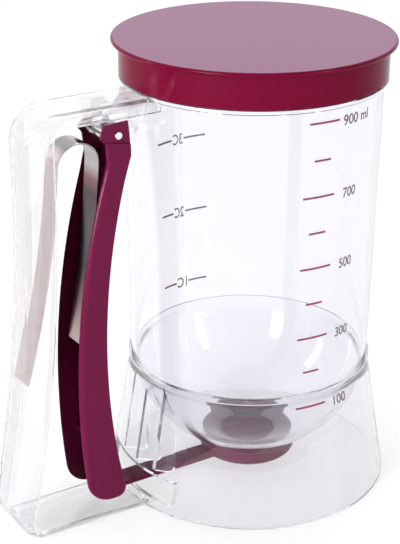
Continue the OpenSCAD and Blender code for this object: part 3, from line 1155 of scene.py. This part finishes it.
@dataclass
class SpringAndPin:
    """The leaf spring behind the lever and the steel pivot pin."""

    sizes: Sizes
    steel: RolledSteel = SPRING_STEEL
    pin_steel: RolledSteel = PIN_STEEL
    top: Point2 = (-81.594, 151.94)
    bend_r: float = 8.7
    thick: float = 0.6
    half: float = 5.5
    edge: float = 0.12
    front_end: Point2 = (-82.54, 78.04)
    front_bow: Point2 = (0.297, 0.42)
    rear_end: Point2 = (-105.79, 66.99)
    rear_bow: Point2 = (0.26, 0.38)
    blend_at: Point3 = (-0.086, 0, 0.120)
    blend_way: Point3 = (0.991, 0, -0.134)
    blend_half: float = 0.008
    pin_r: float = 1.5
    pin_half: float = 10.3
    pin_round: float = 0.35

    def leg(self, start: Point2, end: Point2, bow: Point2) -> List[List[Point2]]:
        """Both faces of a leg, along the arc through a point between its ends.

        Args:
            start: Upper end of the leg's middle line.
            end: Lower end.
            bow: Parts of the way across and down of the arc's middle point.

        Returns:
            The points of the left face and of the right face, each from top to bottom.
        """
        middle = (start[0] + bow[0] * (end[0] - start[0]), start[1] + bow[1] * (end[1] - start[1]))
        centre, radius = arc_centre(start, middle, end)
        a, b = direction(centre, start), direction(centre, end)
        if abs(b - a) > 180:
            b += 360 if b < a else -360
        faces = [around(centre, radius + side, a, b, 20) for side in (self.thick / 2, -self.thick / 2)]
        return sorted(faces, key=lambda face: face[5][0])

    def build_spring(self) -> bpy.types.Object:
        """Makes the strip: front leg, bend and rear leg.

        Returns:
            The spring.
        """
        (x, z), half = self.top, self.thick / 2
        front_left, front_right = self.leg((x + self.bend_r, z), self.front_end, self.front_bow)
        rear_left, rear_right = self.leg((x - self.bend_r, z), self.rear_end, self.rear_bow)
        line = front_right[::-1][:-1] + around(self.top, self.bend_r + half, 0, 180, 24) + rear_left[1:]
        line += rear_right[::-1][:-1] + around(self.top, self.bend_r - half, 180, 0, 24) + front_left[1:]
        spring = slab("leaf_spring_strip", line, self.half)
        bevel(spring, at_end, self.edge, 2)
        return tidy(spring, 35)

    def build_pin(self) -> bpy.types.Object:
        """Makes the pin with rounded ends.

        Returns:
            The pin.
        """
        pin = rod("steel_pin", self.sizes.pin, self.pin_r, self.pin_half, 40)
        bevel(pin, at_end, self.pin_round, 3)
        return tidy(pin)

    def run(self) -> None:
        """Builds and dresses the spring and the pin."""
        spring = self.build_spring()
        dress(spring, None, Slot.SPRING, self.steel.make(), "leaf_spring")
        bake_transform(spring)
        dress(self.build_pin(), Body.JUG, Slot.PIN, self.pin_steel.make(), "pivot_pin")


@dataclass
class Lid:
    """The maroon cap lid."""

    finish: GlossPlastic = LID_GLOSS
    top_satin_and_sheen: GlossPlastic = LID_SATIN_PAINTED_SHEEN
    flange_r: float = 56.2
    bore_r: float = 51.9
    skirt_r: float = 53.3
    low: float = 175.0
    under: float = 188.0
    top: float = 189.8
    edge: float = 0.3
    bore_edge: float = 0.2

    def build(self) -> bpy.types.Object:
        """Turns the cap from its closed section.

        Returns:
            The lid.
        """
        rim, edge, inner = (self.top - self.under) / 2, self.edge, self.bore_edge
        section = [(0.0, self.under), (self.bore_r, self.under), (self.bore_r, self.low + inner)]
        section += [(self.bore_r + inner, self.low), (self.skirt_r - edge, self.low)]
        section += [(self.skirt_r, self.low + edge), (self.skirt_r, self.under - edge)]
        section += [(self.skirt_r + edge, self.under)]
        section += around((self.flange_r - rim, self.under + rim), rim, -90, 90, 10)
        return lathe("cap_lid", section + [(0.0, self.top)], 192)

    def run(self) -> None:
        """Builds and dresses the lid, with a satin top inside its polished edge; the top's lighter, bluer
        colour is a painted sheen.
        """
        lid = self.build()
        dress(lid, Body.LID, Slot.LID, self.finish.make(), "lid_cap")
        lid.data.materials.append(self.top_satin_and_sheen.make())
        for face in lid.data.polygons:
            face.material_index = int(face.center.z > (self.top - 0.01) * MM)


LONG_LINE = (-102.4, -87.1)
SHORT_LINE = (-98.9, -90.8)


@dataclass(frozen=True)
class Mark:
    """A millilitre line: its amount, its height and the azimuths of its two ends."""

    amount: int
    z: float
    span: Point2


@dataclass(frozen=True)
class CupMark:
    """A cup line: its figures, its height and the azimuths of the ends of its two parts."""

    text: str
    z: float
    left: Point2
    right: Point2


@dataclass
class Scales:
    """The printed volume scales: millilitres on the near side, cups on the far side.

    Places of figures are azimuths in degrees, and their sizes are width and height in millimetres.
    """

    sizes: Sizes
    jug: bpy.types.Object
    skirt: bpy.types.Object
    line_ink: PrintInk = MAROON_INK
    digit_ink: PrintInk = GREY_INK
    marks: Tuple[Mark, ...] = (
        Mark(900, 168.3, (-100.5, -85.9)), Mark(800, 153.6, (-97.6, -89.7)), Mark(700, 139.1, LONG_LINE),
        Mark(600, 124.4, SHORT_LINE), Mark(500, 109.8, LONG_LINE), Mark(400, 94.8, SHORT_LINE),
        Mark(300, 80.0, LONG_LINE), Mark(200, 65.0, SHORT_LINE), Mark(100, 49.7, LONG_LINE))
    cup_marks: Tuple[CupMark, ...] = (
        CupMark("3C", 133.5, (109.7, 99.6), (92.0, 79.8)), CupMark("2C", 99.9, (107.0, 99.1), (91.6, 79.0)),
        CupMark("1C", 66.2, (106.2, 97.65), (89.9, 79.2)))
    figures_at: float = -77.9
    figures_size: Point2 = (7.2, 4.2)
    figures_drop: float = 0.8
    top_amount: int = 900
    top_at: float = -75.6
    top_size: Point2 = (14.9, 4.2)
    cup_size: Point2 = (5.4, 4.8)
    capital_share: float = 0.7
    line_half: float = 0.42
    lift: float = 0.04
    thick: float = 0.05
    stroke: float = 0.09
    stand_off: float = 0.6

    def line(self, name: str, z: float, span: Point2) -> bpy.types.Object:
        """Prints one line round part of the wall.

        Args:
            name: Name of the piece.
            z: Height of its middle.
            span: Azimuths of its two ends.

        Returns:
            The line, as a thin closed band.
        """
        low, high = z - self.line_half, z + self.line_half
        low_r, high_r = self.sizes.face_r(low) + self.lift, self.sizes.face_r(high) + self.lift
        corners = [(low_r, low), (low_r + self.thick, low), (high_r + self.thick, high), (high_r, high)]
        obj = draw(name, [Vector((r, 0, h)) for r, h in corners], fill=True)
        turn = math.radians(abs(span[1] - span[0]))
        bpy.ops.mesh.spin(steps=12, angle=turn, center=(0, 0, 0), axis=(0, 0, 1))
        tidy(obj)
        turned = [math.atan2(v.co.y, v.co.x) for v in obj.data.vertices]
        obj.rotation_euler.z = math.radians((span[0] + span[1]) / 2) - (min(turned) + max(turned)) / 2
        settle(obj)
        return obj

    def word(self, name: str, text: str, azimuth: float, z: float, size: Point2) -> bpy.types.Object:
        """Prints figures on the wall, read from outside.

        Args:
            name: Name of the piece.
            text: The figures.
            azimuth: Azimuth of their middle.
            z: Height of their middle.
            size: Their width and height.

        Returns:
            The figures, as thin closed shapes on the wall.
        """
        rest_selection()
        bpy.ops.object.text_add(location=(0, 0, 0))
        font = bpy.context.object.data
        font.body = text
        font.size = size[1] * MM / self.capital_share
        font.resolution_u = 6
        font.offset = self.stroke * MM
        bpy.ops.object.convert(target="MESH")
        obj = bpy.context.object
        obj.name = obj.data.name = name
        xs = [v.co.x for v in obj.data.vertices]
        ys = [v.co.y for v in obj.data.vertices]
        fit = Matrix.Diagonal((size[0] * MM / (max(xs) - min(xs)), size[1] * MM / (max(ys) - min(ys)), 1, 1))
        shift = Matrix.Translation((-(max(xs) + min(xs)) / 2, -(max(ys) + min(ys)) / 2, 0))
        radius, a = self.sizes.face_r(z) + self.stand_off, math.radians(azimuth)
        stand = Matrix.Rotation(a + math.pi / 2, 4, "Z") @ Matrix.Rotation(math.pi / 2, 4, "X")
        place = Matrix.Translation((radius * MM * math.cos(a), radius * MM * math.sin(a), z * MM))
        obj.matrix_world = place @ stand @ fit @ shift
        settle(obj)
        modify(obj, "SHRINKWRAP", target=self.skirt if z < self.sizes.collar_z else self.jug,
               wrap_method="NEAREST_SURFACEPOINT", wrap_mode="ABOVE_SURFACE", offset=self.lift * MM)
        modify(obj, "SOLIDIFY", thickness=self.thick * MM, offset=1.0)
        return tidy(obj)

    def run(self) -> None:
        """Prints both scales."""
        line_ink, digit_ink = self.line_ink.make(), self.digit_ink.make()
        for mark in self.marks:
            dress(self.line(f"line_{mark.amount}", mark.z, mark.span), Body.JUG, Slot.JUG, line_ink)
            if mark.amount % 200 == 100:
                place = (str(mark.amount), self.figures_at, mark.z - self.figures_drop, self.figures_size)
                if mark.amount == self.top_amount:
                    place = (f"{mark.amount} ml", self.top_at, mark.z - self.figures_drop, self.top_size)
                dress(self.word(f"figures_{mark.amount}", *place), Body.JUG, Slot.JUG, digit_ink)
        for mark in self.cup_marks:
            for side, span in (("left", mark.left), ("right", mark.right)):
                name = f"cup_line_{side}_{mark.text}"
                dress(self.line(name, mark.z, span), Body.JUG, Slot.JUG, line_ink)
            middle = (mark.left[1] + mark.right[0]) / 2
            figures = self.word(f"cup_figures_{mark.text}", mark.text, middle, mark.z, self.cup_size)
            dress(figures, Body.JUG, Slot.JUG, digit_ink)


# ---------------------------------------------------------------- studio


@dataclass(frozen=True)
class SoftBox:
    """A soft box: its name, place, width and height in metres, and power in watts."""

    name: str
    place: Point3
    size: Point2
    power: float


@dataclass
class Studio:
    """Pale floor, soft lights and the camera."""

    camera_at: Point3 = (-0.3175, -0.4606, 0.3332)
    heading_deg: float = 57.55
    pitch_deg: float = 23.66
    roll_deg: float = 0.216
    lens: float = 96.58
    sensor: float = 36.0
    clip: Point2 = (0.01, 60.0)
    aim: Point3 = (0, 0, 0.1)
    floor_finish: StudioFloor = PALE_FLOOR
    floor_r: float = 25.0
    floor_z: float = -0.0002
    surround_strength: float = 1.4
    surround_tones: Stops = ((0.0, (0.33, 0.33, 0.34)), (0.35, (0.4, 0.4, 0.41)), (0.55, (0.85, 0.85, 0.86)),
                             (0.7, (1.0, 1.0, 1.0)))
    boxes: Tuple[SoftBox, ...] = (
        SoftBox("left_box", (-1.1, -0.42, 0.35), (0.4, 0.6), 19.0),
        SoftBox("far_left_box", (-0.9, 0.6, 0.4), (0.15, 0.6), 3.0),
        SoftBox("top_box", (0.1, 0.3, 1.4), (0.5, 0.5), 2.5),
        SoftBox("right_box", (0.42, -1.05, 0.35), (0.12, 0.8), 5.0))

    def floor(self) -> None:
        """Lays a large pale floor under the part."""
        rest_selection()
        bpy.ops.mesh.primitive_circle_add(vertices=64, radius=self.floor_r, fill_type="NGON",
                                          location=(0, 0, self.floor_z))
        floor = bpy.context.object
        floor.name = "floor"
        floor.data.materials.append(self.floor_finish.make())

    def surround(self) -> None:
        """Adds a surround that is white beyond the part and dim on the camera's side, as in a studio."""
        world = bpy.data.worlds.new("surround")
        world.use_nodes = True
        tree = world.node_tree
        where = tree.nodes.new("ShaderNodeTexCoord")
        turn = tree.nodes.new("ShaderNodeMapping")
        turn.inputs["Rotation"].default_value = (0, 0, math.radians(-self.heading_deg))
        tree.links.new(where.outputs["Generated"], turn.inputs["Vector"])
        depth = share_along(tree, turn.outputs["Vector"], "X", (-1.0, 1.0))
        back = tree.nodes["Background"]
        back.inputs["Strength"].default_value = self.surround_strength
        tree.links.new(shade(tree, depth, self.surround_tones), back.inputs["Color"])
        bpy.context.scene.world = world

    def lights(self) -> None:
        """Adds the soft boxes, turned towards the part."""
        for box in self.boxes:
            rest_selection()
            bpy.ops.object.light_add(type="AREA", location=box.place)
            lamp = bpy.context.object
            lamp.name = box.name
            lamp.data.shape = "RECTANGLE"
            lamp.data.size, lamp.data.size_y = box.size
            lamp.data.energy = box.power
            lamp.rotation_euler = (Vector(self.aim) - Vector(box.place)).to_track_quat("-Z", "Y").to_euler()

    def camera(self) -> None:
        """Sets the camera at the photograph's view."""
        rest_selection()
        bpy.ops.object.camera_add(location=self.camera_at)
        camera = bpy.context.object
        head, pitch, roll = (math.radians(deg) for deg in (self.heading_deg, self.pitch_deg, self.roll_deg))
        ahead = Vector((math.cos(head) * math.cos(pitch), math.sin(head) * math.cos(pitch), -math.sin(pitch)))
        right = Vector((math.sin(head), -math.cos(head), 0))
        up = right.cross(ahead)
        right, up = right * math.cos(roll) + up * math.sin(roll), up * math.cos(roll) - right * math.sin(roll)
        camera.rotation_euler = Matrix((right, up, -ahead)).transposed().to_euler()
        camera.data.sensor_width = self.sensor
        camera.data.lens = self.lens
        camera.data.clip_start, camera.data.clip_end = self.clip
        bpy.context.scene.camera = camera

    def run(self) -> None:
        """Sets up floor, light, plain colours and camera."""
        bpy.context.scene.view_settings.view_transform = "Standard"
        self.floor()
        self.surround()
        self.lights()
        self.camera()


def main() -> None:
    """Builds every sub-assembly, then the studio."""
    logging.basicConfig(level=logging.INFO)
    sizes = Sizes()
    jug = Jug(sizes).run()
    skirt = BaseSkirt(sizes).run()
    Handle(sizes).run()
    Trigger(sizes).run()
    SpringAndPin(sizes).run()
    Lid().run()
    Scales(sizes, jug, skirt).run()
    Studio().run()


if __name__ == "__main__":
    main()
